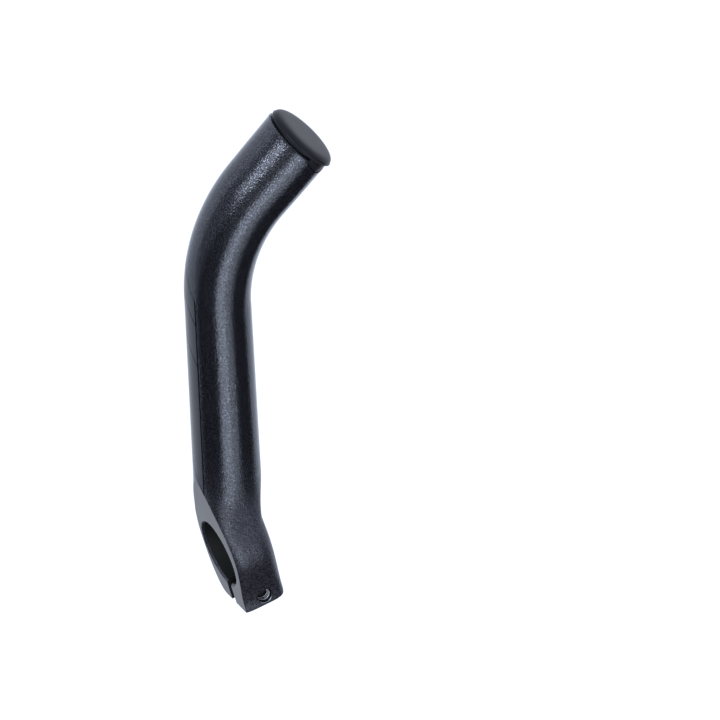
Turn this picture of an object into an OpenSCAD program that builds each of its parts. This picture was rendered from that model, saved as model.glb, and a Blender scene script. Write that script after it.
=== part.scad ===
// Bar end for the left side of a flat bicycle handlebar.
// The origin is the centre of the clamp bore. X runs along the handlebar, with the machined outer
// face at -X and the bend turning in towards +X. Z runs up the leg, and the slot opens at -Z.
// Y is the axis of the clamp bolt, with the threaded lip at -Y.

/* [Clamp] */
// Diameter of the handlebar that the clamp holds
bar_d = 22.2; // [22:0.1:25.4]
// Play round the handlebar before the bolt is tightened, on the radius
bar_play = 0.05; // [0:0.01:0.15]
// Width of the clamp along the handlebar
clamp_w = 14.8; // [13:0.1:18]
// Metal in front of the bore at its thickest
front_wall = 5.8; // [4:0.1:8]
// Metal behind the bore at its thickest
rear_wall = 3.6; // [2.5:0.1:5]
// Height above the bore's centre at which the clamp is thickest
bulge_z = 3; // [0:0.5:6]
// Width of the slot between the two lips
slot_w = 3.4; // [2:0.1:4]
// How far the slot's middle sits in front of the bore's centre
slot_shift = 0.8; // [0:0.1:1.5]
// Chamfer round both mouths of the bore
bore_chamfer = 0.7; // [0.3:0.1:1.2]
// Depth of the threaded lip at its foot, in front of the bore's centre
front_lip = 11.4; // [9:0.1:14]
// Depth of the plain lip at its foot, behind the bore's centre
rear_lip = 6; // [4:0.1:8]
// Rounding of the edges round the foot of the lips
foot_round = 0.7; // [0.4:0.1:1.5]
// Radius, round the bore's axis, of the recess that faces the inner side of the clamp
facing_r = 14; // [13:0.1:16]

/* [Bolt] */
// Thread diameter of the clamp bolt
bolt_d = 5; // [4:0.5:6]
// Length of the bolt under its head
bolt_len = 14; // [12:1:18]
// Diameter of the bolt's head
head_d = 8.5; // [7:0.1:10]
// Height of the bolt's head
head_h = 5; // [4:0.1:6]
// Width across the flats of the socket in the head
socket_w = 4; // [3:0.5:5]
// Depth of the socket
socket_depth = 2.6; // [2:0.1:3.5]
// Metal between the bore and the bolt's hole
bolt_web = 1.35; // [1:0.05:2.5]
// Metal between the bolt's hole and the foot of the lips
bolt_edge = 1.1; // [0.8:0.05:3]
// Distance from the bore's centre back to the seat of the bolt's head
head_seat = 5.8; // [5.6:0.1:7]
// Clearance round the bolt in the plain lip, on the radius
bolt_play = 0.25; // [0.1:0.05:0.5]
// Clearance round the bolt's head in its pocket, on the radius
head_play = 0.3; // [0.15:0.05:0.6]
// Depth of the countersink at the mouth of the threaded hole
hole_chamfer = 0.5; // [0.2:0.1:0.8]
// Chamfer at the tip of the bolt
tip_chamfer = 0.5; // [0.2:0.1:0.8]
// Chamfer round the top of the bolt's head
head_chamfer = 0.4; // [0.2:0.1:0.6]

/* [Leg] */
// Height above the bore's centre at which the leg starts to lean
knee_z = 12; // [10:0.5:14]
// Lean of the leg from the slot's plane towards the inside
leg_lean = 13.3; // [8:0.5:18]
// Length of the leg from the knee to the start of the bend
leg_len = 76.5; // [60:1:90]
// Outer diameter of the leg above the clamp
leg_d = 22; // [20:0.1:23]
// Outer diameter at the start of the bend
bend_d = 21.2; // [20:0.1:23]
// Radius of the bend's centre line
bend_r = 56; // [45:1:70]
// Angle of the bend
bend_angle = 41.8; // [30:1:55]
// Turn of the bend's plane round the leg, towards the front
bend_turn = 17.8; // [0:0.5:25]
// Outer diameter where the bend ends
crown_d = 23.4; // [21:0.1:24]
// Length of the straight tip after the bend
tip_len = 20.5; // [16:0.5:30]
// Outer diameter at the open end
tip_d = 23.9; // [22:0.1:25]
// How far the open end is out of square, towards the inside of the bend
end_tilt = 3; // [0:0.5:6]
// How far the open end is out of square, towards the front
end_turn = 3; // [0:0.5:6]
// Wall of the tube
tube_wall = 2.5; // [1.6:0.1:3]
// Height above the bore's centre at which the hollow of the tube ends
hollow_z = 20; // [19:0.5:30]
// Depth of the domed end of the hollow
hollow_dome = 6; // [2:0.5:9]

/* [Plug] */
// Diameter of the plug's flange
flange_d = 24.3; // [22:0.1:26]
// Height of the flange
flange_h = 2.4; // [1.5:0.1:3]
// How far the flange sits off the tube's axis, towards the inside of the bend
flange_shift = 0.5; // [0:0.1:0.8]
// Rise of the flange's crowned face
crown_h = 0.4; // [0.2:0.1:1]
// Radius of the flange's upper edge
flange_round = 1.5; // [0.5:0.1:1.8]
// Draft of the flange's side, on the radius
flange_draft = 0.25; // [0.1:0.05:0.5]
// Height of the shadow gap between the tube's rim and the flange
rim_gap = 0.4; // [0.2:0.1:0.8]
// How far the shadow gap is set back from the tube's outer surface
gap_setback = 0.9; // [0.5:0.1:1.2]
// Diameter of the bored seat for the plug
seat_d = 19.4; // [18:0.1:20]
// Depth of the bored seat
seat_depth = 9; // [8:0.5:12]
// Length of the plug's skirt inside the tube
skirt_len = 8; // [6:0.5:8]
// Wall of the skirt
skirt_wall = 1.5; // [1:0.1:2]
// Clearance between the skirt and its seat, on the radius
skirt_play = 0.35; // [0.2:0.05:0.6]
// Number of ribs that grip the seat
ribs = 8; // [6:1:12]
// Width of a rib
rib_w = 1.2; // [0.8:0.1:2]
// Angle of the key from the inside of the bend, towards the front
key_angle = 40; // [0:1:60]
// Width of the key
key_w = 8.6; // [5:0.1:10]
// Depth of the key below the rim
key_depth = 1.3; // [1:0.1:2.5]
// Clearance between the key and its notch
key_play = 0.15; // [0.1:0.05:0.3]

/* [Hidden] */

bore_r = bar_d / 2 + bar_play;
half_w = clamp_w / 2;
bolt_r = bolt_d / 2;
bolt_z = -(bore_r + bolt_web + bolt_r);
foot_z = bolt_z - bolt_r - bolt_edge;
front_r = bore_r + front_wall;
rear_r = bore_r + rear_wall;
leg_r = leg_d / 2;
tip_r = tip_d / 2;
seat_r = seat_d / 2;
flange_r = flange_d / 2;
head_r = head_d / 2;
// Reach of cuts that run out into the open, and how far the others pass the faces they open
clear = 40;
overrun = 1;
// Overlap of faces that would otherwise only meet
eps = 0.02;
// Sides of the tube's outer and inner skins
skin_sides = 60;
core_sides = 40;

// The clamp's section: a rounded block, fuller towards the machined face, wider than the clamp by
// what the side faces take off, and squarer at the foot than round the bore
block_shift = -1;
side_stock = 1.8;
block_half = half_w + side_stock;
block_power = 3.4;
foot_power = 4.5;
// Length along the leg over which the block fades into the round tube, and the shares of it that
// the front and the rear take to reach the tube's radius
fade_len = 16;
front_fade = 0.75;
rear_fade = 0.5;
// Height over which the front lip stays upright before it swells round the bore
upright = 2;
// Length past the tip that the cut of the open end takes off
end_stock = 3;
// Rings of the lofts: along the clamp, along its fade into the tube, and round the bend
clamp_steps = 12;
fade_steps = 8;
bend_steps = 20;

function smooth(t) = let (c = max(0, min(1, t))) c * c * (3 - 2 * c);
function mix(a, b, t) = a + (b - a) * t;
function signed_pow(v, p) = (v < 0 ? -1 : 1) * pow(abs(v), p);

// Front and rear half depths of the clamp at a height z below the knee
function front_at(z) = z > bulge_z
    ? mix(front_r, leg_r, smooth((z - bulge_z) / (knee_z + fade_len * front_fade - bulge_z)))
    : mix(front_lip, front_r, smooth((z - foot_z - upright) / (bulge_z - foot_z - upright)));
function rear_at(z) = z > bulge_z
    ? mix(rear_r, leg_r, smooth((z - bulge_z) / (knee_z + fade_len * rear_fade - bulge_z)))
    : mix(rear_lip, rear_r, sqrt(1 - pow((bulge_z - z) / (bulge_z - foot_z), 2)));
function power_at(z) = mix(foot_power, block_power, smooth((z - foot_z) / (bulge_z - foot_z)));

// Directions: up the leg, across it towards the inside, and the bend's own side and normal
up = [sin(leg_lean), 0, cos(leg_lean)];
side = [cos(leg_lean), 0, -sin(leg_lean)];
bend_side = cos(bend_turn) * side - sin(bend_turn) * [0, 1, 0];
bend_normal = cos(bend_turn) * [0, 1, 0] + sin(bend_turn) * side;
knee = [0, 0, knee_z];
bend_start = knee + leg_len * up;

function bend_up(a) = cos(a) * up + sin(a) * bend_side;
function bend_in(a) = cos(a) * bend_side - sin(a) * up;
function bend_point(a) = bend_start + bend_r * ((1 - cos(a)) * bend_side + sin(a) * up);
tip_up = bend_up(bend_angle);
tip_in = bend_in(bend_angle);
bend_end = bend_point(bend_angle);
tip_point = bend_end + tip_len * tip_up;

// Directions of the open end, which isn't quite square to the tube
end_normal = tip_up + tan(end_tilt) * tip_in - tan(end_turn) * bend_normal;
end_up = end_normal / norm(end_normal);
end_across = tip_in - (tip_in * end_up) * end_up;
end_in = end_across / norm(end_across);
end_side = cross(end_up, end_in);

// A closed ring of points round a centre, along two directions. The depth may differ at the
// front and the rear, and a power above 2 squares the ring's corners.
function ring(centre, u, v, half_u, front, rear, power, sides) = [
    for (i = [0:sides - 1])
        let (
            a = 360 * i / sides,
            pu = signed_pow(cos(a), 2 / power) * half_u,
            pv = signed_pow(sin(a), 2 / power) * (sin(a) < 0 ? front : rear)
        )
        centre + pu * u + pv * v
];

// Round rings along the bend and the tip, less a wall
function round_ring(centre, a, radius, sides) = ring(
    centre,
    cos(bend_turn) * bend_in(a) + sin(bend_turn) * bend_normal,
    cos(bend_turn) * bend_normal - sin(bend_turn) * bend_in(a),
    radius, radius, radius, 2, sides
);

// A ring round the clamp at a height z, set in from its surface
function clamp_ring(z, inset) = ring(
    [block_shift, 0, z], [1, 0, 0], [0, 1, 0],
    block_half - inset, front_at(z) - inset, rear_at(z) - inset, power_at(z), skin_sides
);

// From the rounded foot up to just below the knee
function clamp_rings() = concat(
    [
        for (a = [0:30:60])
            clamp_ring(foot_z + foot_round * (1 - cos(a)), foot_round * (1 - sin(a)))
    ],
    [
        for (k = [0:clamp_steps - 1])
            clamp_ring(mix(foot_z + foot_round, knee_z, k / clamp_steps), 0)
    ]
);

// From the knee up, the block turns into a round tube and leans over with the leg
function fade_rings() = [
    for (k = [0:fade_steps])
        let (
            t = k / fade_steps,
            s = smooth(t),
            z = knee_z + t * fade_len,
            lean = leg_lean * s
        )
        ring(
            knee + t * fade_len * up + [block_shift * (1 - s), 0, 0],
            [cos(lean), 0, -sin(lean)], [0, 1, 0],
            mix(block_half, leg_r, s), front_at(z), rear_at(z),
            mix(block_power, 2, s), skin_sides
        )
];

function tube_rings(less, sides) = [
    for (k = [0:bend_steps])
        let (t = k / bend_steps, a = t * bend_angle)
        round_ring(bend_point(a), a, mix(bend_d, crown_d, t) / 2 - less, sides)
];

// A solid between a list of rings, closed with a flat cap at each end
module loft(rings) {
    sides = len(rings[0]);
    last = len(rings) - 1;
    walls = [
        for (k = [0:last - 1], i = [0:sides - 1])
            let (j = (i + 1) % sides)
            each [
                [k * sides + i, k * sides + j, (k + 1) * sides + j],
                [k * sides + i, (k + 1) * sides + j, (k + 1) * sides + i]
            ]
    ];
    polyhedron(
        points = [for (r = rings) each r],
        faces = concat(
            [for (w = walls) [w[2], w[1], w[0]]],
            [[for (i = [0:sides - 1]) i]],
            [[for (i = [sides - 1:-1:0]) last * sides + i]]
        )
    );
}

module outer_skin() {
    loft(concat(
        clamp_rings(),
        fade_rings(),
        tube_rings(0, skin_sides),
        [round_ring(tip_point + end_stock * tip_up, bend_angle, tip_r, skin_sides)]
    ));
}

// The hollow runs from a domed end above the clamp to a little past the open end
module hollow() {
    start = (hollow_z - knee_z) / cos(leg_lean);
    core_r = leg_r - tube_wall;
    loft(concat(
        [
            for (a = [30:20:90])
                round_ring(
                    knee + (start + hollow_dome * (1 - cos(a))) * up, 0, core_r * sin(a), core_sides
                )
        ],
        tube_rings(tube_wall, core_sides),
        [
            round_ring(
                tip_point + (end_stock + overrun) * tip_up, bend_angle, tip_r - tube_wall, core_sides
            )
        ]
    ));
}

// Puts a shape drawn along +Z on the open end, its +X towards the inside of the bend
module at_tip() {
    m = [
        [end_in[0], end_side[0], end_up[0], tip_point[0]],
        [end_in[1], end_side[1], end_up[1], tip_point[1]],
        [end_in[2], end_side[2], end_up[2], tip_point[2]],
        [0, 0, 0, 1]
    ];
    multmatrix(m) children();
}

module along_x(length) {
    translate([-length / 2, 0, 0]) rotate([0, 90, 0]) children();
}

// The bore, with a chamfer at each mouth
module bar_bore() {
    along_x(2 * clear) cylinder(r = bore_r, h = 2 * clear, $fn = 128);
    for (m = [0, 1])
        mirror([m, 0, 0])
            translate([half_w - bore_chamfer, 0, 0])
                rotate([0, 90, 0])
                    cylinder(
                        r1 = bore_r, r2 = bore_r + bore_chamfer + eps,
                        h = bore_chamfer + eps, $fn = 128
                    );
}

// The slot from the foot up into the bore
module slot() {
    translate([-clear, -slot_shift - slot_w / 2, foot_z - overrun])
        cube([2 * clear, slot_w, overrun - foot_z - bore_r / 2]);
}

// Holes for the bolt: threaded in front, clear behind, with a pocket for the head
module bolt_holes() {
    translate([0, 0, bolt_z]) rotate([90, 0, 0]) {
        cylinder(r = bolt_r, h = clear, $fn = 64);
        translate([0, 0, front_lip - hole_chamfer])
            cylinder(r1 = bolt_r, r2 = bolt_r + 2 * hole_chamfer, h = 2 * hole_chamfer, $fn = 64);
        translate([0, 0, -head_seat - eps])
            cylinder(r = bolt_r + bolt_play, h = head_seat + eps, $fn = 64);
        translate([0, 0, -clear])
            cylinder(r = head_r + head_play, h = clear - head_seat, $fn = 64);
    }
}

// Flat outer face, and an inner face that is milled in round the bore
module side_faces() {
    translate([-half_w - clear, -clear, -clear]) cube([clear, 2 * clear, 5 * clear]);
    translate([half_w, 0, 0]) rotate([0, 90, 0]) cylinder(r = facing_r, h = clear, $fn = 128);
    translate([half_w, -clear, -clear]) cube([clear, 2 * clear, clear]);
}

// A block round the rim's wall at the key, for the notch and for the key itself
module key_block(width, depth, inner, outer) {
    rotate([0, 0, -key_angle])
        translate([inner, -width / 2, -depth])
            cube([outer - inner, width, depth + rim_gap]);
}

module bar_end_body() {
    color([0.16, 0.16, 0.18])
        difference() {
            outer_skin();
            hollow();
            at_tip() {
                translate([-clear, -clear, 0]) cube([2 * clear, 2 * clear, clear]);
                translate([0, 0, -seat_depth])
                    cylinder(r = seat_r, h = seat_depth + overrun, $fn = 96);
                key_block(key_w, key_depth, seat_r / 2, tip_r + overrun);
            }
            side_faces();
            bar_bore();
            slot();
            bolt_holes();
        }
}

// Half section of the flange: a side with draft and a rounded upper edge
module flange_section() {
    high = rim_gap + flange_h;
    shoulder = high - flange_round;
    side_r = flange_r - flange_draft;
    polygon([[0, rim_gap], [flange_r, rim_gap], [side_r, shoulder], [0, shoulder]]);
    translate([0, shoulder - eps]) square([side_r - flange_round, flange_round + eps]);
    intersection() {
        translate([side_r - flange_round, shoulder]) circle(r = flange_round, $fn = 64);
        translate([0, shoulder - eps]) square([side_r, flange_round + eps]);
    }
}

// Crowned face that rises from the end of the flange's rounded edge
module crown() {
    crown_r = flange_r - flange_draft - flange_round;
    dome_r = (crown_r * crown_r + crown_h * crown_h) / (2 * crown_h);
    intersection() {
        translate([0, 0, rim_gap + flange_h + crown_h - dome_r]) sphere(r = dome_r, $fn = 200);
        translate([0, 0, rim_gap + flange_h / 2]) cylinder(r = crown_r, h = flange_h, $fn = 128);
    }
}

// The skirt inside the tube, with ribs that touch the bored seat
module skirt() {
    skirt_r = seat_r - skirt_play;
    difference() {
        translate([0, 0, -skirt_len]) cylinder(r = skirt_r, h = skirt_len + eps, $fn = 96);
        translate([0, 0, -skirt_len - overrun])
            cylinder(r = skirt_r - skirt_wall, h = skirt_len, $fn = 96);
    }
    intersection() {
        translate([0, 0, overrun - skirt_len]) cylinder(r = seat_r, h = skirt_len - overrun, $fn = 96);
        for (i = [0:ribs - 1])
            rotate([0, 0, 360 * (i + 0.5) / ribs])
                translate([skirt_r - skirt_wall / 2, -rib_w / 2, -skirt_len])
                    cube([skirt_play + skirt_wall, rib_w, skirt_len]);
    }
}

// The key that drops into the notch of the rim
module key() {
    intersection() {
        key_block(
            key_w - 2 * key_play, key_depth - key_play,
            seat_r - skirt_play - skirt_wall / 2, tip_r + overrun
        );
        translate([0, 0, -key_depth])
            cylinder(r = tip_r - key_play, h = key_depth + rim_gap, $fn = 96);
    }
}

module end_plug() {
    color([0.2, 0.21, 0.22])
        at_tip() {
            translate([flange_shift, 0, 0]) {
                rotate_extrude($fn = 128) flange_section();
                crown();
            }
            cylinder(r = tip_r - gap_setback, h = rim_gap + eps, $fn = 96);
            skirt();
            key();
        }
}

// Socket head bolt, its head at the rear
module clamp_bolt() {
    color([0.62, 0.63, 0.65])
        translate([0, 0, bolt_z]) rotate([90, 0, 0]) translate([0, 0, -head_seat])
            difference() {
                union() {
                    cylinder(r = bolt_r, h = bolt_len - tip_chamfer, $fn = 64);
                    translate([0, 0, bolt_len - tip_chamfer])
                        cylinder(r1 = bolt_r, r2 = bolt_r - tip_chamfer, h = tip_chamfer, $fn = 64);
                    translate([0, 0, head_chamfer - head_h])
                        cylinder(r = head_r, h = head_h - head_chamfer, $fn = 64);
                    translate([0, 0, -head_h])
                        cylinder(r1 = head_r - head_chamfer, r2 = head_r, h = head_chamfer, $fn = 64);
                }
                translate([0, 0, -head_h - overrun])
                    cylinder(r = socket_w / 2 / cos(30), h = socket_depth + overrun, $fn = 6);
            }
}

bar_end_body();
end_plug();
clamp_bolt();
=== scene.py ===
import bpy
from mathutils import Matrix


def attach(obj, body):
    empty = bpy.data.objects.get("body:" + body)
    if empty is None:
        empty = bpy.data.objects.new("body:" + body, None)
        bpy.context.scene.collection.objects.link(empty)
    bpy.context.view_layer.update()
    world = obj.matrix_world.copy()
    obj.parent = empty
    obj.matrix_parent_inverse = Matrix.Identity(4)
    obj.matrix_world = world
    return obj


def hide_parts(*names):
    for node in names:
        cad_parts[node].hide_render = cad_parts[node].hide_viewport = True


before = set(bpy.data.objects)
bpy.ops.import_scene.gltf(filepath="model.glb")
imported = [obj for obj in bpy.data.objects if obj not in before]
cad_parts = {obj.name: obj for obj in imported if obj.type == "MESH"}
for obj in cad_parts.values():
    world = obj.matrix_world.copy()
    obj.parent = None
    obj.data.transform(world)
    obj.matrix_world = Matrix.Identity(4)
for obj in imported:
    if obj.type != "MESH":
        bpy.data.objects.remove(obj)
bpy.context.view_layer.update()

# %% [markdown]
# ## A bar end for a bicycle
# The object clamps round the end of a flat handlebar and gives the rider a second place to hold.
# It has three pieces. The body is one piece of aluminium: a split clamp at the foot, a leaning
# leg, a bend and a flaring tip. A moulded plug closes the open tip, and one steel bolt pulls the
# two lips of the clamp together.
#
# The construction model already fixes every size. This scene rebuilds the same surfaces with a
# finer mesh, softer edges and real screw threads, and then gives each piece its finish.

# %% Libraries and units
import math
from math import cos, pi, radians, sin, sqrt, tan

import bmesh
import bpy
import numpy as np
from mathutils import Matrix, Vector

MM = 0.001
np.seterr(all="raise")
print("Blender", bpy.app.version_string)

# %% [markdown]
# ## Sizes
# The values below are in millimetres, and they are the same ones that the construction model was
# built from. Keeping one list of named sizes lets the fine surfaces meet the frame exactly.
# The origin is the centre of the clamp's bore, X runs along the handlebar, and Z runs up the leg.

# %% Clamp and bolt sizes
BORE_R = 11.15
HALF_W = 7.4
FRONT_R, REAR_R = BORE_R + 5.8, BORE_R + 3.6
FRONT_LIP, REAR_LIP = 11.4, 6.0
BULGE_Z = 3.0
SLOT_W, SLOT_SHIFT = 3.4, 0.8
BORE_CHAMFER = 0.7
FOOT_ROUND = 0.7
FACING_R = 14.0

BOLT_R = 2.5
BOLT_LEN = 14.0
HEAD_R, HEAD_H, HEAD_SEAT = 4.25, 5.0, 5.8
SOCKET_W, SOCKET_DEPTH = 4.0, 2.6
BOLT_PLAY, HEAD_PLAY = 0.25, 0.3
WALL_OVER_BOLT, WALL_UNDER_BOLT = 1.35, 1.1
BOLT_Z = -(BORE_R + WALL_OVER_BOLT + BOLT_R)
FOOT_Z = BOLT_Z - BOLT_R - WALL_UNDER_BOLT
print("foot of the clamp at z =", FOOT_Z, "mm, bolt at z =", BOLT_Z, "mm")

# %% Leg, bend and plug sizes
KNEE_Z, LEG_LEAN, LEG_LEN = 12.0, radians(13.3), 76.5
LEG_R, BEND_START_R, BEND_END_R, TIP_R = 11.0, 10.6, 11.7, 11.95
BEND_R, BEND_ANGLE, BEND_TURN = 56.0, radians(41.8), radians(17.8)
TIP_LEN, END_TILT, END_TURN = 20.5, radians(3), radians(3)
TUBE_WALL, HOLLOW_Z, HOLLOW_DOME = 2.5, 20.0, 6.0

FLANGE_R, FLANGE_H, FLANGE_SHIFT = 12.15, 1.9, 0.5
CROWN_H, FLANGE_ROUND, FLANGE_DRAFT = 0.4, 1.5, 0.25
RIM_GAP, GAP_SETBACK = 0.9, 1.6
SEAT_R, SEAT_DEPTH = 9.7, 9.0
SKIRT_LEN, SKIRT_WALL, SKIRT_PLAY = 8.0, 1.5, 0.35
RIBS, RIB_W = 8, 1.2
KEY_ANGLE, KEY_HALF_ANGLE = radians(40), radians(33)
KEY_DEPTH, KEY_SIDE_DEPTH, KEY_PLAY = 3.0, 0.9, 0.15
print("leg", LEG_LEN, "mm long, bend", BEND_R, "mm round, plug", 2 * FLANGE_R, "mm across")

# %% [markdown]
# ## The centre line
# The tube is easiest to describe by its centre line: straight up the leaning leg, round one bend,
# and straight again to the tip. Each point of the line carries its own little set of axes, so a
# ring of points can be laid round it. The bend turns in its own plane, which is rotated a little
# towards the front.

# %% Directions along the centre line
def smooth(t):
    c = min(1.0, max(0.0, t))
    return c * c * (3 - 2 * c)


def mix(a, b, t):
    return a + (b - a) * t


AXIS_X, AXIS_Y, AXIS_Z = np.eye(3)
UP = np.array([sin(LEG_LEAN), 0, cos(LEG_LEAN)])
SIDE = np.array([cos(LEG_LEAN), 0, -sin(LEG_LEAN)])
BEND_SIDE = cos(BEND_TURN) * SIDE - sin(BEND_TURN) * AXIS_Y
BEND_NORMAL = cos(BEND_TURN) * AXIS_Y + sin(BEND_TURN) * SIDE
KNEE = np.array([0, 0, KNEE_Z])
BEND_START = KNEE + LEG_LEN * UP


def bend_up(a):
    return cos(a) * UP + sin(a) * BEND_SIDE


def bend_in(a):
    return cos(a) * BEND_SIDE - sin(a) * UP


def bend_point(a):
    return BEND_START + BEND_R * ((1 - cos(a)) * BEND_SIDE + sin(a) * UP)


def ring_axes(a):
    """The two directions across the tube at the angle a round the bend."""
    inwards = bend_in(a)
    return (cos(BEND_TURN) * inwards + sin(BEND_TURN) * BEND_NORMAL,
            cos(BEND_TURN) * BEND_NORMAL - sin(BEND_TURN) * inwards)


TIP_UP, TIP_IN = bend_up(BEND_ANGLE), bend_in(BEND_ANGLE)
TIP_POINT = bend_point(BEND_ANGLE) + TIP_LEN * TIP_UP
END_UP = TIP_UP + tan(END_TILT) * TIP_IN - tan(END_TURN) * BEND_NORMAL
END_UP /= np.linalg.norm(END_UP)
END_IN = TIP_IN - TIP_IN.dot(END_UP) * END_UP
END_IN /= np.linalg.norm(END_IN)
END_SIDE = np.cross(END_UP, END_IN)
print("tip centre at", TIP_POINT.round(2), "mm")

# %% [markdown]
# ## The clamp's section
# Seen from above, the clamp is a rounded block. A superellipse draws it: the power 2 gives a plain
# ellipse, and a higher power squares the corners. The machined outer face then cuts a flat off
# one side. On the real body that flat meets the skin with a small softened corner. Shrinking the
# clipped outline by the corner's radius and growing it again rounds exactly the sharp corners and
# leaves the rest alone.

# %% Depths of the clamp at each height
SIDE_STOCK, BLOCK_SHIFT = 1.8, -1.0
BLOCK_HALF = HALF_W + SIDE_STOCK
BLOCK_POWER, FOOT_POWER = 3.4, 4.5
FADE_LEN, FRONT_FADE, REAR_FADE = 16.0, 0.75, 0.5
UPRIGHT = 2.0


def front_at(z):
    if z > BULGE_Z:
        reach = KNEE_Z + FADE_LEN * FRONT_FADE - BULGE_Z
        return mix(FRONT_R, LEG_R, smooth((z - BULGE_Z) / reach))
    low = FOOT_Z + UPRIGHT
    return mix(FRONT_LIP, FRONT_R, smooth((z - low) / (BULGE_Z - low)))


def rear_at(z):
    if z > BULGE_Z:
        reach = KNEE_Z + FADE_LEN * REAR_FADE - BULGE_Z
        return mix(REAR_R, LEG_R, smooth((z - BULGE_Z) / reach))
    fall = (BULGE_Z - z) / (BULGE_Z - FOOT_Z)
    return mix(REAR_LIP, REAR_R, sqrt(max(0.0, 1 - fall * fall)))


def power_at(z):
    return mix(FOOT_POWER, BLOCK_POWER, smooth((z - FOOT_Z) / (BULGE_Z - FOOT_Z)))


print("the clamp at the bore is", round(front_at(0) + rear_at(0), 2), "mm deep")

# %% Outline of one section
SIDES = 192
OUTLINE_POINTS = 1440
DIRECTIONS = 720
EDGE = 0.4
OUTSIDE = 99.0


def superellipse(half_u, front, rear, power):
    a = np.linspace(0, 2 * pi, OUTLINE_POINTS, endpoint=False)
    c, s = np.cos(a), np.sin(a)
    u = np.sign(c) * np.abs(c) ** (2 / power) * half_u
    v = np.sign(s) * np.abs(s) ** (2 / power) * np.where(s < 0, front, rear)
    return np.stack([u, v], 1)


def clip_left(outline, limit):
    """The part of a convex outline with u above the limit."""
    kept = []
    for p, q in zip(outline, np.roll(outline, -1, 0)):
        if p[0] >= limit:
            kept.append(p)
        if (p[0] >= limit) != (q[0] >= limit):
            kept.append(p + (q - p) * (limit - p[0]) / (q[0] - p[0]))
    return np.array(kept)


def half_plane(outline, normal, reach):
    """The part of a convex outline that lies on the near side of a line."""
    over = outline @ normal - reach
    if over.max() <= 1e-9:
        return outline
    after, over_after = np.roll(outline, -1, 0), np.roll(over, -1)
    crossing = (over <= 0) != (over_after <= 0)
    share = np.where(crossing, over, 0) / np.where(crossing, over - over_after, 1)
    met = outline + (after - outline) * share[:, None]
    both = np.stack([outline, met], 1).reshape(-1, 2)
    return both[np.stack([over <= 0, crossing], 1).ravel()]


def soften(outline, radius):
    """Rounds the sharp corners of a convex outline to a radius, and leaves the rest."""
    a = np.linspace(0, 2 * pi, DIRECTIONS, endpoint=False)
    normals = np.stack([np.cos(a), np.sin(a)], 1)
    reach = (normals @ outline.T).max(1) - radius
    inner = OUTSIDE * np.array([[-1, -1], [1, -1], [1, 1], [-1, 1]])
    for normal, limit in zip(normals, reach):
        inner = half_plane(inner, normal, limit)
    near = (normals @ inner.T).argmax(1)
    before = np.roll(near, 1)
    grown = np.stack([inner[before] + radius * normals, inner[near] + radius * normals], 1)
    keep = np.stack([near != before, np.full(len(a), True)], 1)
    return grown[keep]


def even(outline, corner_share=9.0):
    """SIDES points round an outline, spread by its length and, at the corners, by its turning."""
    step = np.roll(outline, -1, 0) - outline
    length = np.hypot(step[:, 0], step[:, 1])
    keep = length > 1e-7
    outline, step, length = outline[keep], step[keep], length[keep]
    angle = np.arctan2(step[:, 1], step[:, 0])
    turn = np.abs((np.roll(angle, -1) - angle + pi) % (2 * pi) - pi)
    turn = (turn + np.roll(turn, 1)) / 2
    weight = length + corner_share * turn
    at = np.concatenate([[0], np.cumsum(weight)])
    want = np.linspace(0, at[-1], SIDES, endpoint=False)
    loop = np.vstack([outline, outline[:1]])
    return np.stack([np.interp(want, at, loop[:, 0]), np.interp(want, at, loop[:, 1])], 1)


block = superellipse(BLOCK_HALF, FRONT_R, REAR_R, BLOCK_POWER)
section = even(soften(clip_left(block, -HALF_W - BLOCK_SHIFT), EDGE))
print("section through the bore:", len(section), "points,", np.ptp(section, 0).round(2), "mm")

# %% [markdown]
# ## The body as one loft
# A loft joins a stack of rings. This one starts at the foot, climbs the clamp, fades into the round
# tube, follows the bend and the flaring tip, rolls over the rim, and goes back down inside the tube
# to a domed end. That makes the hollow body one closed skin, and its rim and foot are rounded by
# rings that step in a little at a time.

# %% Rings of the clamp
INNER_FOOT = 1.9
INNER_ROUND, INNER_SHARP, INNER_FADE = 1.0, 0.06, 6.0
FOOT_RINGS, BLOCK_RINGS, FADE_RINGS = 7, 48, 25


def block_ring(centre, u, half_u, front, rear, power, inner_limit=None, inner_round=0.0):
    """A ring round the clamp, cut flat at the machined face and, low down, at the inner face."""
    outline = superellipse(half_u, front, rear, power)
    if inner_limit is not None:
        outline = soften(-clip_left(-outline, centre[0] - inner_limit), inner_round)
    limit = (-HALF_W - centre[0]) / u[0]
    if limit > -half_u:
        outline = clip_left(outline, limit)
    points = even(soften(outline, EDGE))
    start = np.argmin(np.abs(points[:, 1]) + np.where(points[:, 0] > 0, 0, OUTSIDE))
    points = np.roll(points, -start, 0)
    return centre + points[:, :1] * u + points[:, 1:] * AXIS_Y


def clamp_ring(z, inset=0.0):
    """The ring at a height. Below the bore's centre, its inner face is flat and ends in a curve."""
    centre = np.array([BLOCK_SHIFT, 0, z])
    limit, rounding = None, 0.0
    if z < 0:
        low = max(0.0, INNER_FOOT - (z - FOOT_Z))
        limit = HALF_W - INNER_FOOT + sqrt(INNER_FOOT ** 2 - low ** 2)
        rounding = mix(INNER_SHARP, INNER_ROUND, smooth(-z / INNER_FADE))
    return block_ring(centre, AXIS_X, BLOCK_HALF - inset, front_at(z) - inset,
                      rear_at(z) - inset, power_at(z), limit, rounding)


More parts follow.
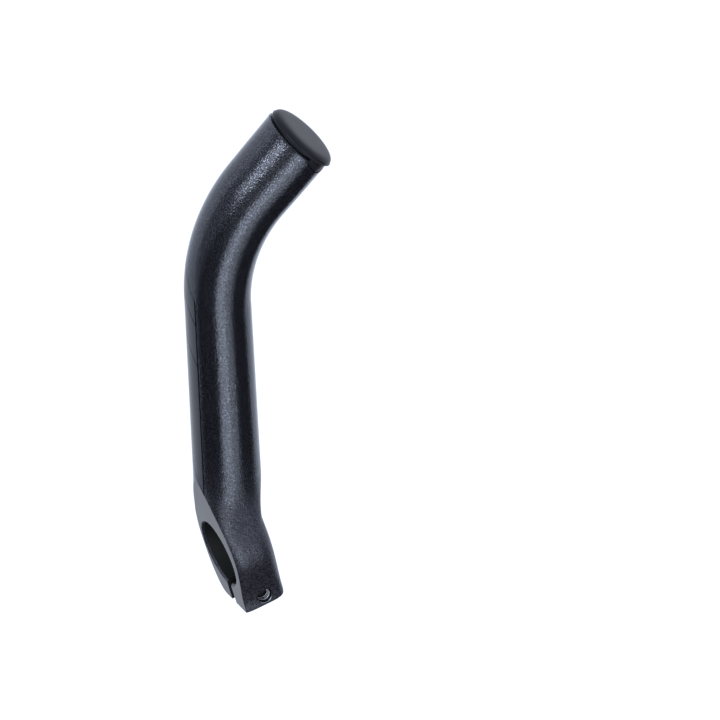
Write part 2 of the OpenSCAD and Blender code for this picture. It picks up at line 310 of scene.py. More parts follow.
rings = []
for k in range(FOOT_RINGS):
    a = k / FOOT_RINGS * pi / 2
    rings.append(clamp_ring(FOOT_Z + FOOT_ROUND * (1 - cos(a)), FOOT_ROUND * (1 - sin(a))))
for z in np.linspace(FOOT_Z + FOOT_ROUND, KNEE_Z, BLOCK_RINGS, endpoint=False):
    rings.append(clamp_ring(z))
for t in np.linspace(0, 1, FADE_RINGS):
    s, lean = smooth(t), LEG_LEAN * smooth(t)
    z = KNEE_Z + t * FADE_LEN
    rings.append(block_ring(
        KNEE + t * FADE_LEN * UP + (1 - s) * BLOCK_SHIFT * AXIS_X,
        np.array([cos(lean), 0, -sin(lean)]),
        mix(BLOCK_HALF, LEG_R, s), front_at(z), rear_at(z), mix(BLOCK_POWER, 2, s)))
print(len(rings), "rings up to the top of the clamp")

# %% Rings of the leg, the bend and the tip
LEG_RINGS, BEND_RINGS, TIP_RINGS, RIM_RINGS = 24, 49, 14, 5
TILT_FROM = 0.5
RIM_ROUND = 0.5
ROUND = np.linspace(0, 2 * pi, SIDES, endpoint=False)


def round_ring(centre, a, radius):
    u, v = ring_axes(a)
    return (centre + radius * np.cos(ROUND)[:, None] * u
            + radius * np.sin(ROUND)[:, None] * v)


def onto_end(ring, share, height=0.0):
    """Slides a ring's points along the tube until they lie in the plane of the open end."""
    gap = (ring - TIP_POINT) @ END_UP - height
    return ring - share * (gap / TIP_UP.dot(END_UP))[:, None] * TIP_UP


def bend_radius(t):
    return mix(BEND_START_R, BEND_END_R, t)


fade_top = KNEE + FADE_LEN * UP
for t in np.linspace(0, 1, LEG_RINGS)[1:]:
    rings.append(round_ring(mix(fade_top, BEND_START, t), 0, mix(LEG_R, BEND_START_R, t)))
for t in np.linspace(0, 1, BEND_RINGS)[1:]:
    rings.append(round_ring(bend_point(t * BEND_ANGLE), t * BEND_ANGLE, bend_radius(t)))
for k in range(1, TIP_RINGS + 1):
    t = k / TIP_RINGS
    centre = mix(bend_point(BEND_ANGLE), TIP_POINT - RIM_ROUND * TIP_UP, t)
    ring = round_ring(centre, BEND_ANGLE, mix(BEND_END_R, TIP_R, t))
    rings.append(onto_end(ring, smooth(t), -RIM_ROUND) if t > TILT_FROM else ring)
for k in range(1, RIM_RINGS + 1):
    a = k / RIM_RINGS * pi / 2
    ring = round_ring(TIP_POINT, BEND_ANGLE, TIP_R - RIM_ROUND * (1 - cos(a)))
    rings.append(onto_end(ring, 1, -RIM_ROUND * (1 - sin(a))))
print(len(rings), "rings up to the rim")

# %% [markdown]
# ## Down the inside
# The tip is bored out to a clean round seat for the plug. Below the seat the wall is as it was
# formed, and it ends in a dome just above the clamp. The inside can only be seen with the plug
# taken out, but the body needs it to have the right weight and the right rim.

# %% Rings of the hollow
def seat_ring(radius, height):
    return (TIP_POINT + height * END_UP + radius * np.cos(ROUND)[:, None] * END_IN
            + radius * np.sin(ROUND)[:, None] * END_SIDE)


def turned_like(ring, target):
    """The ring, started at the point nearest to the first point of the one before it."""
    start = np.argmin(np.linalg.norm(ring - target[0], axis=1))
    return np.roll(ring, -start, 0)


SEAT_EDGE, SEAT_LEDGE, SEAT_RINGS = 0.2, 0.25, 4
WALL_START, WALL_DRAFT = 0.5, 0.1
HOLLOW_RINGS, DOME_DEGREES = 25, (90, 75, 60, 45, 30, 15, 5)
for k in range(SEAT_RINGS):
    a = k / (SEAT_RINGS - 1) * pi / 2
    ring = seat_ring(SEAT_R + SEAT_EDGE * (1 - sin(a)), -SEAT_EDGE * (1 - cos(a)))
    rings.append(turned_like(ring, rings[-1]))
for radius, height in ((SEAT_R, -SEAT_DEPTH), (SEAT_R - SEAT_LEDGE, -SEAT_DEPTH)):
    rings.append(turned_like(seat_ring(radius, height), rings[-1]))
below = TIP_POINT - (SEAT_DEPTH + WALL_START) * TIP_UP
ring = round_ring(below, BEND_ANGLE, TIP_R - TUBE_WALL - WALL_DRAFT)
rings.append(turned_like(ring, rings[-1]))
for t in np.linspace(1, 0, HOLLOW_RINGS):
    ring = round_ring(bend_point(t * BEND_ANGLE), t * BEND_ANGLE, bend_radius(t) - TUBE_WALL)
    rings.append(turned_like(ring, rings[-1]))
core_start = (HOLLOW_Z - KNEE_Z) / cos(LEG_LEAN)
for degrees in DOME_DEGREES:
    a = radians(degrees)
    centre = KNEE + (core_start + HOLLOW_DOME * (1 - cos(a))) * UP
    ring = round_ring(centre, 0, (LEG_R - TUBE_WALL) * sin(a))
    rings.append(turned_like(ring, rings[-1]))
print(len(rings), "rings in all")

# %% [markdown]
# ## From rings to a mesh
# A mesh is a list of corners and a list of faces that name their corners. Every ring here has the
# same number of points, so each point joins its neighbour and the two above them in one four-sided
# face. That keeps the skin an even grid, which bends smoothly and takes clean highlights.

# %% Loft the rings into a mesh
def mesh_object(name, verts, faces, scale=MM):
    mesh = bpy.data.meshes.new(name)
    mesh.from_pydata([tuple(map(float, v)) for v in np.asarray(verts) * scale], [], faces)
    mesh.validate()
    mesh.update()
    obj = bpy.data.objects.new(name, mesh)
    bpy.context.scene.collection.objects.link(obj)
    return obj


def loft(name, rings, close=True):
    n, last = len(rings[0]), len(rings) - 1
    faces = []
    for k in range(last):
        for i in range(n):
            j = (i + 1) % n
            faces.append((k * n + i, k * n + j, (k + 1) * n + j, (k + 1) * n + i))
    if close:
        faces.append(tuple(range(n - 1, -1, -1)))
        faces.append(tuple(range(last * n, last * n + n)))
    return mesh_object(name, np.vstack(rings), faces)


body = loft("bar_end_body_skin", rings)
print("body skin:", len(body.data.polygons), "faces")

# %% [markdown]
# ## Machining the clamp
# On the real part a cutter bores the clamp, saws the slot, drills and taps the lip and mills a
# seat for the bolt's head. The same order works here, with one boolean cut for each tool. The
# tools are lathe shapes: a half outline turned round an axis. The bore's outline flares at its
# mouths, so it gets a small chamfer and rounded edge, and the tapped hole gets a small countersink.

# %% Lathe tool and cuts
def lathe(name, profile, sides, matrix):
    """Turns (radius, height) pairs round +Z. A radius of 0 closes an end."""
    verts, rows = [], []
    for r, h in profile:
        if r < 1e-6:
            rows.append([len(verts)])
            verts.append((0, 0, h))
            continue
        rows.append(list(range(len(verts), len(verts) + sides)))
        verts += [(r * cos(2 * pi * i / sides), r * sin(2 * pi * i / sides), h)
                  for i in range(sides)]
    faces = []
    for low, high in zip(rows, rows[1:]):
        for i in range(sides):
            j = (i + 1) % sides
            if len(low) == 1:
                faces.append((low[0], high[j], high[i]))
            elif len(high) == 1:
                faces.append((low[i], low[j], high[0]))
            else:
                faces.append((low[i], low[j], high[j], high[i]))
    return mesh_object(name, moved(verts, matrix), faces)


def moved(verts, matrix):
    return np.array(verts, float) @ matrix[:3, :3].T + matrix[:3, 3]


def axes(x, y, z, origin=(0, 0, 0)):
    """The matrix that carries a tool from its own axes to a place on the object."""
    m = np.eye(4)
    m[:3, 0], m[:3, 1], m[:3, 2], m[:3, 3] = x, y, z, origin
    return m


def arc(cx, cy, r, start, end, steps=6):
    """Points round a part of a circle, from one angle to the other in degrees."""
    return [(cx + r * cos(radians(a)), cy + r * sin(radians(a)))
            for a in np.linspace(start, end, steps)]


def bake(obj):
    """Turns the modifiers of an object into its mesh."""
    graph = bpy.context.evaluated_depsgraph_get()
    made = bpy.data.meshes.new_from_object(obj.evaluated_get(graph))
    obj.modifiers.clear()
    old, obj.data = obj.data, made
    bpy.data.meshes.remove(old)


def combine(obj, tool, operation):
    boolean = obj.modifiers.new("combine", "BOOLEAN")
    boolean.operation, boolean.solver, boolean.object = operation, "MANIFOLD", tool
    bake(obj)
    bpy.data.objects.remove(tool)


def cut(obj, tool):
    combine(obj, tool, "DIFFERENCE")


def add(obj, tool):
    combine(obj, tool, "UNION")


# %% Bore and milled face
FAR, OVERSHOOT = 40.0, 2.0
BORE_SIDES, TOOL_SIDES = 192, 96
CHAMFER_SOFT, MOUTH_SOFT, MOUTH_STEP, MOUTH_FLARE = 0.06, 0.12, 0.02, 3.0
CUTTER_NOSE = 0.5
mouth = HALF_W - BORE_CHAMFER
half_profile = [(BORE_R, mouth - 0.1), (BORE_R + CHAMFER_SOFT, mouth + CHAMFER_SOFT),
                (BORE_R + BORE_CHAMFER - CHAMFER_SOFT, HALF_W - CHAMFER_SOFT),
                (BORE_R + BORE_CHAMFER + MOUTH_SOFT, HALF_W + MOUTH_STEP),
                (BORE_R + MOUTH_FLARE, HALF_W + OVERSHOOT)]
bore_profile = ([(0, -HALF_W - OVERSHOOT)] + [(r, -h) for r, h in reversed(half_profile)]
                + half_profile + [(0, HALF_W + OVERSHOOT)])
ALONG_BAR = axes(AXIS_Y, AXIS_Z, AXIS_X)
cut(body, lathe("bore", bore_profile, BORE_SIDES, ALONG_BAR))

facing = [(0, HALF_W)] + arc(FACING_R - CUTTER_NOSE, HALF_W + CUTTER_NOSE, CUTTER_NOSE, -90, 0)
facing += [(FACING_R, HALF_W + FAR), (0, HALF_W + FAR)]
cut(body, lathe("facing", facing, BORE_SIDES, ALONG_BAR))
print("after the bore and the facing:", len(body.data.polygons), "faces")


# %% Inner face, slot and notch
HERE = axes(AXIS_X, AXIS_Y, AXIS_Z)


def box_tool(name, low, high, matrix=HERE):
    corners = [(x, y, z) for z in (low[2], high[2]) for y in (low[1], high[1])
               for x in (low[0], high[0])]
    faces = [(0, 2, 3, 1), (4, 5, 7, 6), (0, 1, 5, 4), (2, 6, 7, 3), (0, 4, 6, 2), (1, 3, 7, 5)]
    return mesh_object(name, moved(corners, matrix), faces)


cut(body, box_tool("inner_face", (HALF_W, -FAR, -FAR), (FAR, FAR, 0)))
slot_mid = -SLOT_SHIFT
SLOT_TOP = -BORE_R / 2
cut(body, box_tool("slot", (-FAR, slot_mid - SLOT_W / 2, FOOT_Z - OVERSHOOT),
                   (FAR, slot_mid + SLOT_W / 2, SLOT_TOP)))
AT_TIP = axes(END_IN, END_SIDE, END_UP, TIP_POINT)
KEY_ROWS, KEY_BLUNT = 33, 0.01
NOTCH_TOP = 3.0


def rim_block(name, play, inner, outer, top):
    """A block that follows the curve of the rim, with a foot that slopes down to its middle."""
    rows = []
    for share in np.linspace(-1, 1, KEY_ROWS):
        a = share * (KEY_HALF_ANGLE - play / outer) - KEY_ANGLE
        low = play - mix(KEY_DEPTH, KEY_SIDE_DEPTH, sqrt(share * share + KEY_BLUNT))
        corners = ((inner, low), (inner, top), (outer, top), (outer, low))
        rows.append([AT_TIP[:3, :3] @ (r * cos(a), r * sin(a), h) + TIP_POINT
                     for r, h in corners])
    return loft(name, rows)


cut(body, rim_block("notch", 0, SEAT_R / 2, TIP_R + OVERSHOOT, NOTCH_TOP))
print("after the slot and the notch:", len(body.data.polygons), "faces")

# %% [markdown]
# ## The threaded hole
# The tap leaves a real helix in the front lip, and its bright crests are what shows in the mouth of
# the hole. The hole is bored to the thread's outer size here, and the crests are added back as a
# separate strip of the same piece: a rib that winds round the hole.

# %% Bolt holes
TOWARDS_FRONT = axes(AXIS_X, AXIS_Z, -AXIS_Y, (0, 0, BOLT_Z))
SINK_DEPTH, SINK_WIDTH, SINK_REACH = 0.3, 0.2, 0.8
FRONT_START, REAR_END = -0.2, 0.4
sink_r = BOLT_R + SINK_WIDTH
front_hole = [(0, FRONT_START), (BOLT_R, FRONT_START), (BOLT_R, FRONT_LIP - SINK_DEPTH),
              (sink_r, FRONT_LIP), (sink_r, FRONT_LIP + SINK_REACH), (0, FRONT_LIP + SINK_REACH)]
cut(body, lathe("tapped_hole", front_hole, TOOL_SIDES, TOWARDS_FRONT))
pocket_r, plain_r = HEAD_R + HEAD_PLAY, BOLT_R + BOLT_PLAY
rear_hole = [(0, -FAR), (pocket_r, -FAR), (pocket_r, -HEAD_SEAT), (plain_r, -HEAD_SEAT),
             (plain_r, REAR_END), (0, REAR_END)]
cut(body, lathe("head_pocket", rear_hole, TOOL_SIDES, TOWARDS_FRONT))
print("after the holes:", len(body.data.polygons), "faces")

# %% Thread ribs
PITCH, THREAD_DEPTH = 0.8, 0.42
THREAD_START, MOUTH_DEPTH = 0.3, 1.0
TURN_STEPS, RUN_OUT, LEAST_RISE = 48, 0.35, 0.02
RIB_SUNK, CREST_HALF = 0.03, 0.04
HOLE_RIB_HALF, BOLT_RIB_HALF = 0.25, 0.40


def thread(name, radius, start, end, inner, matrix):
    """A helical rib of triangular section. It points inwards in a hole, outwards on a bolt."""
    sign = -1 if inner else 1
    steps = int((end - start) / PITCH * TURN_STEPS)
    root, crest = radius - sign * RIB_SUNK, radius + sign * THREAD_DEPTH
    base = HOLE_RIB_HALF if inner else BOLT_RIB_HALF
    verts, faces = [], []
    for k in range(steps + 1):
        a = 2 * pi * k / TURN_STEPS
        h = start + PITCH * k / TURN_STEPS
        rise = smooth(min(k, steps - k) / (TURN_STEPS * RUN_OUT))
        tip = mix(root, crest, max(rise, LEAST_RISE))
        for r, dh in ((root, -base), (tip, -CREST_HALF), (tip, CREST_HALF), (root, base)):
            verts.append((r * cos(a), r * sin(a), h + dh * PITCH))
    for k in range(steps):
        for i in range(4):
            j = (i + 1) % 4
            quad = (4 * k + i, 4 * k + j, 4 * k + 4 + j, 4 * k + 4 + i)
            faces.append(quad if inner else quad[::-1])
    faces += [(3, 2, 1, 0) if inner else (0, 1, 2, 3)]
    e = 4 * steps
    faces += [(e, e + 1, e + 2, e + 3) if inner else (e + 3, e + 2, e + 1, e)]
    return mesh_object(name, moved(verts, matrix), faces)


first_turn = SLOT_SHIFT + SLOT_W / 2 + THREAD_START
last_turn = FRONT_LIP - MOUTH_DEPTH
tapped = thread("bar_end_thread", BOLT_R, first_turn, last_turn, True, TOWARDS_FRONT)
print("thread turns in the lip:", round((last_turn - first_turn) / PITCH, 1))

# %% [markdown]
# ## The end plug
# The plug is one moulding: a flange with a slightly crowned face and a rounded shoulder, a short
# neck that makes the thin shadow line against the tube, a thin skirt with grip ribs inside the
# tube, and a key that drops into the notch of the rim. Two revolved outlines give the flange and
# the skirt. The flange sits a little off the tube's centre, so the two are turned apart and then
# joined into one skin.

# %% Flange of the plug
FLANGE_SIDES = 160
UNDER_IN, UNDER_EDGE, UNDER_LIFT = 0.25, 0.06, 0.07
CROWN_FULLNESS = 8
RIM_POINTS, RIM_FIRST, RIM_GROWTH = 10, 0.02, 1.55
FACE_POINTS, FACE_FIRST, FACE_LAST = 26, 1.4, 0.5
side_r = FLANGE_R - FLANGE_DRAFT
shoulder_h = RIM_GAP + FLANGE_H - FLANGE_ROUND
dome_top = RIM_GAP + FLANGE_H + CROWN_H


def crown_height(r):
    """Height of the face: it rises steeply from the side and runs out nearly flat."""
    return shoulder_h + (dome_top - shoulder_h) * sqrt(1 - (r / side_r) ** CROWN_FULLNESS)


flange = [(0, RIM_GAP), (FLANGE_R - UNDER_IN, RIM_GAP),
          (FLANGE_R - UNDER_EDGE, RIM_GAP + UNDER_LIFT), (FLANGE_R, RIM_GAP + UNDER_IN),
          (side_r, shoulder_h)]
inset = np.concatenate([RIM_FIRST * RIM_GROWTH ** np.arange(RIM_POINTS),
                        np.linspace(FACE_FIRST, side_r - FACE_LAST, FACE_POINTS)])
flange += [(side_r - d, crown_height(side_r - d)) for d in inset] + [(0, dome_top)]
shift = axes(AXIS_X, AXIS_Y, AXIS_Z, (FLANGE_SHIFT, 0, 0))
plug = lathe("end_plug_flange", flange, FLANGE_SIDES, AT_TIP @ shift)
print("flange profile:", len(flange), "points")

# %% Skirt, key and ribs
SKIRT_FLOOR, SKIRT_CHAMFER, SKIRT_JOIN, NECK_FOOT = 0.6, 0.3, 0.3, 0.03
KEY_SETBACK, KEY_JOIN = 0.1, 0.2
RIB_FOOT, RIB_TOP, RIB_PLAY = 1.0, 1.5, 0.02
skirt_r = SEAT_R - SKIRT_PLAY
neck_r = TIP_R - GAP_SETBACK
skirt = [(0, -SKIRT_FLOOR), (skirt_r - SKIRT_WALL, -SKIRT_FLOOR),
         (skirt_r - SKIRT_WALL, -SKIRT_LEN), (skirt_r - SKIRT_CHAMFER, -SKIRT_LEN),
         (skirt_r, SKIRT_CHAMFER - SKIRT_LEN), (skirt_r, NECK_FOOT), (neck_r, NECK_FOOT),
         (neck_r, RIM_GAP + SKIRT_JOIN), (0, RIM_GAP + SKIRT_JOIN)]
add(plug, lathe("skirt", skirt, TOOL_SIDES, AT_TIP))
mid_skirt = skirt_r - SKIRT_WALL / 2
add(plug, rim_block("key", KEY_PLAY, mid_skirt, TIP_R - KEY_SETBACK, RIM_GAP + KEY_JOIN))
for i in range(RIBS):
    a = 2 * pi * (i + 0.5) / RIBS
    turn = axes((cos(a), sin(a), 0), (-sin(a), cos(a), 0), AXIS_Z)
    add(plug, box_tool("rib", (mid_skirt, -RIB_W / 2, RIB_FOOT - SKIRT_LEN),
                       (SEAT_R - RIB_PLAY, RIB_W / 2, -RIB_TOP), AT_TIP @ turn))
print("plug:", len(plug.data.polygons), "faces")

# %% [markdown]
# ## The clamp bolt
# A socket head bolt, turned and rolled from steel. The shank goes through the plain lip into the
# tapped one, so its thread shows across the slot. The head sits at the rear, in a milled pocket.
# It is a turned blank with a rounded rim, and a six-sided tool cuts the socket for the key.

# %% Bolt blank, socket and thread
CORE_PLAY, POINT_IN, POINT_LEN = 0.02, 0.35, 0.4
HEAD_EDGE, HEAD_ROUND, HEAD_FLAT = 0.1, 0.4, 0.5
SOCKET_POINT, SOCKET_OVER = 0.6, 1.0
LEAD_OVER, LEAD_OUT, LEAD_IN, LEAD_DEPTH, LEAD_SIDES = 0.5, 0.6, 0.35, 0.45, 48
THREAD_FROM, THREAD_TO = 0.8, 0.45
core_r = BOLT_R - THREAD_DEPTH - CORE_PLAY
blank = [(0, BOLT_LEN), (core_r - POINT_IN, BOLT_LEN), (core_r, BOLT_LEN - POINT_LEN),
         (core_r, 0), (HEAD_R - HEAD_EDGE, 0), (HEAD_R, -HEAD_EDGE), (HEAD_R, HEAD_FLAT - HEAD_H)]
blank += arc(HEAD_R - HEAD_ROUND, HEAD_ROUND - HEAD_H, HEAD_ROUND, 0, -90) + [(0, -HEAD_H)]
AT_BOLT = axes(AXIS_X, AXIS_Z, -AXIS_Y, (0, HEAD_SEAT, BOLT_Z))
bolt = lathe("clamp_bolt_turned", blank[::-1], TOOL_SIDES, AT_BOLT)
socket_r = SOCKET_W / 2 / cos(radians(30))
socket_floor = SOCKET_DEPTH - HEAD_H
socket = [(0, -HEAD_H - SOCKET_OVER), (socket_r, -HEAD_H - SOCKET_OVER),
          (socket_r, socket_floor), (0, socket_floor + SOCKET_POINT)]
cut(bolt, lathe("socket", socket, 6, AT_BOLT))
lead_in = [(0, -HEAD_H - LEAD_OVER), (socket_r + LEAD_OUT, -HEAD_H - LEAD_OVER),
           (socket_r - LEAD_IN, LEAD_DEPTH - HEAD_H), (0, LEAD_DEPTH - HEAD_H)]
cut(bolt, lathe("lead_in", lead_in, LEAD_SIDES, AT_BOLT))
bolt_thread = thread("clamp_bolt_thread", core_r, THREAD_FROM, BOLT_LEN - THREAD_TO, False, AT_BOLT)
print("bolt:", len(bolt.data.polygons), "faces, thread:", len(bolt_thread.data.polygons))

# %% [markdown]
# ## Shading that follows the real edges
# A boolean leaves flat faces beside curved ones. Marking every edge above 32 degrees as sharp keeps
# the machined corners crisp, and weighted normals let the big flat faces stay flat while the
# small rounding faces beside them carry the soft highlight.

# %% Smooth the pieces
SHARP_DEGREES = 32


def finish_shading(obj):
    obj.data.shade_smooth()
    obj.data.set_sharp_from_angle(angle=radians(SHARP_DEGREES))
    weighted = obj.modifiers.new("weighted_normals", "WEIGHTED_NORMAL")
    weighted.keep_sharp = True
    bake(obj)


for obj in (body, plug, bolt, tapped, bolt_thread):
    finish_shading(obj)
    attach(obj, "root")
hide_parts("bar_end_body")
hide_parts("end_plug")
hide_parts("clamp_bolt")
print("triangles:", {o.name: sum(len(p.vertices) - 2 for p in o.data.polygons)
                     for o in (body, plug, bolt, tapped, bolt_thread)})

# %% [markdown]
# ## Writing shaders as sums
# A shader is easier to read as arithmetic than as a web of boxes. The small class below wraps the
# output of a node, so that adding, multiplying or comparing two of them makes the Math node for it.
# Plain numbers stay in Python.

# %% A value that builds its own nodes
class Sock:
    def __init__(self, shader, socket):
        self.shader, self.socket = shader, socket

    def _math(self, operation, *inputs):
        return self.shader.node("ShaderNodeMath", {"operation": operation},
                                dict(enumerate(inputs)))

    def __add__(self, other):
        return self._math("ADD", self, other)

    def __radd__(self, other):
        return self._math("ADD", other, self)

    def __sub__(self, other):
        return self._math("SUBTRACT", self, other)

    def __rsub__(self, other):
        return self._math("SUBTRACT", other, self)

    def __mul__(self, other):
        return self._math("MULTIPLY", self, other)

    def __rmul__(self, other):
        return self._math("MULTIPLY", other, self)

    def __pow__(self, other):
        return self._math("POWER", self, other)

    def __rpow__(self, other):
        return self._math("POWER", other, self)

    def __abs__(self):
        return self._math("ABSOLUTE", self)

    def __gt__(self, other):
        return self._math("GREATER_THAN", self, other)

    def __lt__(self, other):
        return self._math("LESS_THAN", self, other)

    def at_most(self, other):
        return self._math("MINIMUM", self, other)

    def ramp(self, low, high):
        """0 below low, 1 above high, and a smooth climb between them."""
        return self.shader.node("ShaderNodeMapRange", {"interpolation_type": "SMOOTHSTEP"},
                                {"Value": self, "From Min": low, "From Max": high})


class Shader:
    """One material, with a method that makes any node from its type, settings and inputs."""

    def __init__(self, name):
        self.material = bpy.data.materials.new(name)
        self.material.use_nodes = True
        self.tree = self.material.node_tree
        self.surface = self.tree.nodes["Principled BSDF"]

    def node(self, kind, settings=None, inputs=None, output=0):
        made = self.tree.nodes.new(kind)
        for key, value in (settings or {}).items():
            setattr(made, key, value)
        for key, value in (inputs or {}).items():
            self.feed(made.inputs[key], value)
        return Sock(self, made.outputs[output])

    def feed(self, target, value):
        if isinstance(value, Sock):
            self.tree.links.new(value.socket, target)
        else:
            target.default_value = value

    def set(self, **values):
        for key, value in values.items():
            self.feed(self.surface.inputs[key.replace("_", " ")], value)

    def place(self):
        return self.node("ShaderNodeTexCoord", output="Object")

    def noise(self, scale, detail=2.0, rough=0.5, at=None):
        return self.node("ShaderNodeTexNoise", {}, {
            "Vector": at or self.place(), "Scale": scale, "Detail": detail, "Roughness": rough})

    def mix_colour(self, mask, low, high):
        return self.node("ShaderNodeMix", {"data_type": "RGBA"},
                         {0: mask, 6: low, 7: high}, output=2)

    def streaks(self, along, scale):
        """Noise that only changes along one direction, as a cutter leaves it."""
        return self.node("ShaderNodeTexNoise", {"noise_dimensions": "1D"},
                         {"W": along, "Scale": scale, "Detail": 2.0})

    def bump(self, height, strength, distance):
        return self.node("ShaderNodeBump", {}, {
            "Height": height, "Strength": strength, "Distance": distance})

    def axis(self, vector, index):
        return self.node("ShaderNodeSeparateXYZ", {}, {0: vector}, output=index)


# %% [markdown]
# ## The plain field on the leg
# The outer side of the leg carries a smooth field with slanted ends, edged by a thin dark line and
# crossed by two more. It is only a change of finish, so it is drawn with masks: comparisons of the
# distance along the leg and across it. A mask is 1 inside and 0 outside, and multiplying masks
# keeps what lies inside them all.

# %% Masks of the plain field
FIELD_HALF, FIELD_LOW, FIELD_TOP = 4.5, 18.0, 87.0
FIELD_SLANT, FIELD_OUT = 1.6, 4.0
LINE_W = 0.5
DIVIDERS, DIVIDER_HALF = (77.9, 63.6), 0.3


def plain_field(x, y, z):
    """Two masks: the smooth field on the outer side of the leg, and the thin lines in it."""
    along = x * UP[0] + (z - KNEE_Z * MM) * UP[2]
    slant = along - y * FIELD_SLANT
    outside = x - along * UP[0] < -FIELD_OUT * MM
    ends = (slant > FIELD_LOW * MM) * (slant < FIELD_TOP * MM)
    field = (abs(y) < FIELD_HALF * MM) * ends * outside
    lines = abs(y) > (FIELD_HALF - LINE_W) * MM
    lines = lines + (slant < (FIELD_LOW + LINE_W) * MM) + (slant > (FIELD_TOP - LINE_W) * MM)
    for middle in DIVIDERS:
        lines = lines + (abs(slant - middle * MM) < DIVIDER_HALF * MM)
    return field, field * lines.at_most(1.0)


print("plain field:", FIELD_TOP - FIELD_LOW, "mm long,", 2 * FIELD_HALF, "mm wide")

# %% [markdown]
# ## Black blasted anodising
# The body is blasted with fine beads and dyed black. Blasting leaves a skin of tiny dimples, a
# few tenths of a millimetre wide, that sparkle where they catch the light. Two fine noises make
# them: both feed the bump, and the peaks of the finer one are also flecks of bare metal. The dye
# is mottled on the clamp. On the outer side of the tip the flecks are painted brighter, as a
# painted glint for the hard highlight that falls there. The milled outer face, the bore and the
# slot are cut surfaces: they are smoother and reflect more evenly.

# %% Finish of the skin
COOL = (0.80, 0.87, 1.0, 1)
DYE = (0.0018, 0.0018, 0.0026, 1), (0.0034, 0.0034, 0.0046, 1)
CLAMP_DYE = (0.0016, 0.0012, 0.0022, 1), (0.0120, 0.0102, 0.0145, 1)
# Fleck colours: dim bare flecks over the whole skin, and brighter ones painted as a glint on the
# tip's outer side.
FLECK_AND_GLINT = (0.075, 0.079, 0.096, 1), (0.118, 0.123, 0.146, 1)
FIELD_TONE, LINE_TONE = (0.010, 0.010, 0.012, 1), (0.002, 0.002, 0.003, 1)
CLAMP_FADE, GLINT_TIP_FADE, GLINT_SIDE_FADE = (0.006, 0.044), (0.095, 0.122), (0.001, 0.006)


def black_anodised():
    m = Shader("black_anodised")
    spot = m.place()
    x, y, z = (m.axis(spot, k) for k in range(3))
    field, lines = plain_field(x, y, z)
    grain = m.noise(1900, 0.0, 0.5, spot)
    fine = m.noise(3100, 0.0, 0.5, spot)
    cloud = m.noise(60, 2.0, 0.5, spot)
    mottle = m.noise(1300, 1.0, 0.5, spot).ramp(0.38, 0.62)
    low = 1 - z.ramp(*CLAMP_FADE)
    over = (z - TIP_POINT[2] * MM) * TIP_UP[0] - (x - TIP_POINT[0] * MM) * TIP_UP[2]
    # Painted glint: the flecks are made brighter on the outer side of the tip, where the hard
    # highlight falls.
    painted_glint_side = over.ramp(*GLINT_SIDE_FADE) * z.ramp(*GLINT_TIP_FADE)
    sparkle = fine.ramp(0.57, 0.68) * (1 - field)
    tone = m.mix_colour(low, m.mix_colour(cloud, *DYE), m.mix_colour(mottle, *CLAMP_DYE))
    tone = m.mix_colour(sparkle, tone, m.mix_colour(painted_glint_side, *FLECK_AND_GLINT))
    tone = m.mix_colour(field * 0.5, tone, FIELD_TONE)
    tone = m.mix_colour(lines, tone, LINE_TONE)
    rough = (0.18 + (grain - 0.5) * 0.12 + (cloud - 0.5) * 0.04 - sparkle * 0.05
             + low * 0.25 + field * 0.05 + lines * 0.20)
    height = (grain * 0.8 + fine * 0.4) * (1 + low * 0.8 - field * 0.6) + lines * 0.5
    m.set(Base_Color=tone, Roughness=rough, Metallic=(sparkle + lines).at_most(1.0),
          Specular_IOR_Level=0.50, Specular_Tint=COOL, Normal=m.bump(height, 0.55, 0.00012))
    return m.material


# %% Finish of the cut surfaces
def milled_black():
    """The outer face of the clamp: flat, and smoother than the skin."""
    m = Shader("milled_anodised")
    spot = m.place()
    fine = m.noise(1700, 1.0, 0.5, spot)
    cloud = m.noise(90, 2.0, 0.5, spot)
    tone = m.mix_colour(fine.ramp(0.35, 0.65), (0.003, 0.003, 0.004, 1), (0.016, 0.016, 0.020, 1))
    m.set(Base_Color=tone, Roughness=0.30 + (fine - 0.5) * 0.10 + (cloud - 0.5) * 0.06,
          Metallic=0.0, Specular_IOR_Level=0.22, Specular_Tint=COOL,
          Normal=m.bump(fine, 0.16, 0.00003))
    return m.material


def bored_black():
    """Inside the bore and the slot: the cutter's fine rings hold the dye and look the darkest."""
    m = Shader("bored_anodised")
    spot = m.place()
    rings = m.streaks(m.axis(spot, 0), 4200.0)
    fine = m.noise(2600, 2.0, 0.5, spot)
    tone = m.mix_colour(rings, (0.0025, 0.003, 0.003, 1), (0.005, 0.006, 0.006, 1))
    m.set(Base_Color=tone, Roughness=0.50 + rings * 0.10 + (fine - 0.5) * 0.08, Metallic=0.0,
          Specular_IOR_Level=0.14, Normal=m.bump(rings * 0.7 + fine * 0.3, 0.3, 0.00003))
    return m.material


CREST_FADE = 0.00022, 0.00034


def bare_thread():
    """The tapped thread: its crests are rubbed bare, and its flanks have kept the dye."""
    m = Shader("cut_aluminium_thread")
    spot = m.place()
    x, z = m.axis(spot, 0), m.axis(spot, 2) - BOLT_Z * MM
    radius = (x * x + z * z) ** 0.5
    streak = m.noise(2400, 3.0, 0.6, spot)
    mouth_side = m.axis(spot, 1) < (MOUTH_DEPTH - FRONT_LIP) * MM
    rubbed = ((BOLT_R * MM - radius).ramp(*CREST_FADE) + mouth_side).at_most(1.0)
    tone = m.mix_colour(streak, (0.20, 0.21, 0.23, 1), (0.30, 0.315, 0.34, 1))
    tone = m.mix_colour(rubbed, (0.010, 0.010, 0.012, 1), tone)
    m.set(Base_Color=tone, Roughness=0.28 + streak * 0.18, Metallic=1.0,
          Normal=m.bump(streak, 0.2, 0.00002))
    return m.material
